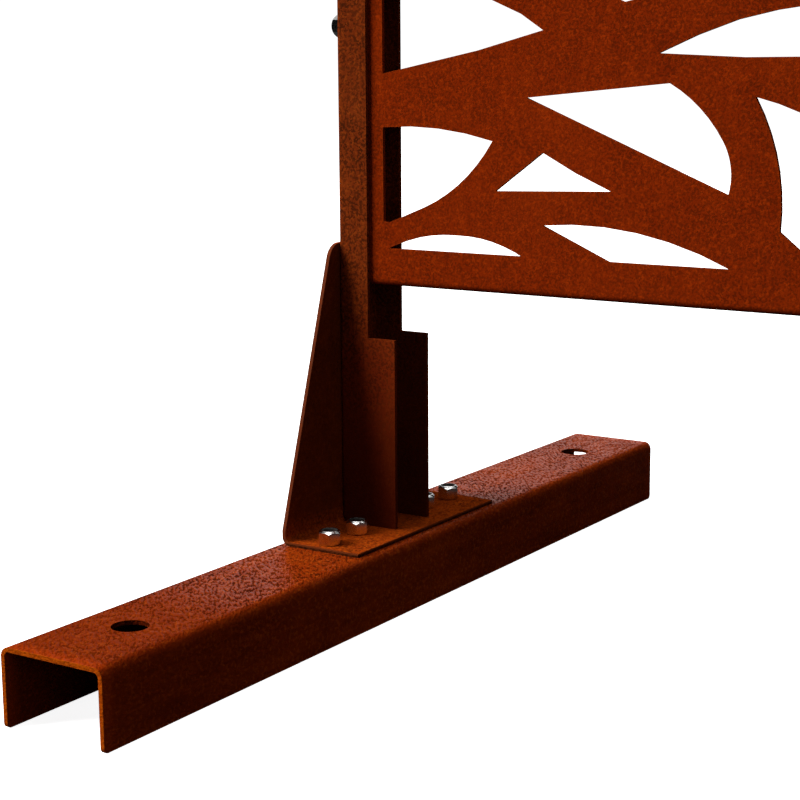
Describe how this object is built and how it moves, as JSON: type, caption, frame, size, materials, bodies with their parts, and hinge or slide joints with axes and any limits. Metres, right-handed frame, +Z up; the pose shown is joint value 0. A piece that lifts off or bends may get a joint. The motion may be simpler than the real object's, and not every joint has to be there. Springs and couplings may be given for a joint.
{
  "type": "laser cut metal screen",
  "caption": "Free-standing screen of folded rusted steel: a tray with a cut fretwork field between two channel posts, each bolted to a gusset bracket on a long channel foot.",
  "frame": {"origin": "on the floor, midway between the two feet and midway along them", "axes": "+X along the width of the screen, +Y from the panel's front face towards its open back, +Z up"},
  "size_m": [0.9282, 0.635, 1.9035],
  "materials": {
    "rusted_foot_steel": "dark red-brown rust with a faint sheen",
    "rusted_bracket_steel": "orange-brown rust, matte",
    "rusted_post_steel": "brown rust, matte",
    "rusted_panel_steel": "orange rust with fine specks, matte",
    "zinc_plate": "bright zinc plate",
    "nylon": "dark nylon"
  },
  "bodies": {
    "root": {"base_channel_left": "rusted_foot_steel", "base_channel_right": "rusted_foot_steel", "foot_bracket_left": "rusted_bracket_steel", "foot_bracket_right": "rusted_bracket_steel", "post_left": "rusted_post_steel", "post_right": "rusted_post_steel", "screen_panel": "rusted_panel_steel", "foot_bolts_left": "zinc_plate", "foot_bolts_right": "zinc_plate", "foot_nuts_left": "zinc_plate", "foot_nuts_right": "zinc_plate", "foot_nut_inserts_left": "nylon", "foot_nut_inserts_right": "nylon", "gusset_bolts_left": "zinc_plate", "gusset_bolts_right": "zinc_plate", "gusset_nuts_left": "zinc_plate", "gusset_nuts_right": "zinc_plate", "gusset_nut_inserts_left": "nylon", "gusset_nut_inserts_right": "nylon", "panel_bolts_left": "zinc_plate", "panel_bolts_right": "zinc_plate", "panel_nuts_left": "zinc_plate", "panel_nuts_right": "zinc_plate", "panel_nut_inserts_left": "nylon", "panel_nut_inserts_right": "nylon"}
  },
  "joints": []
}
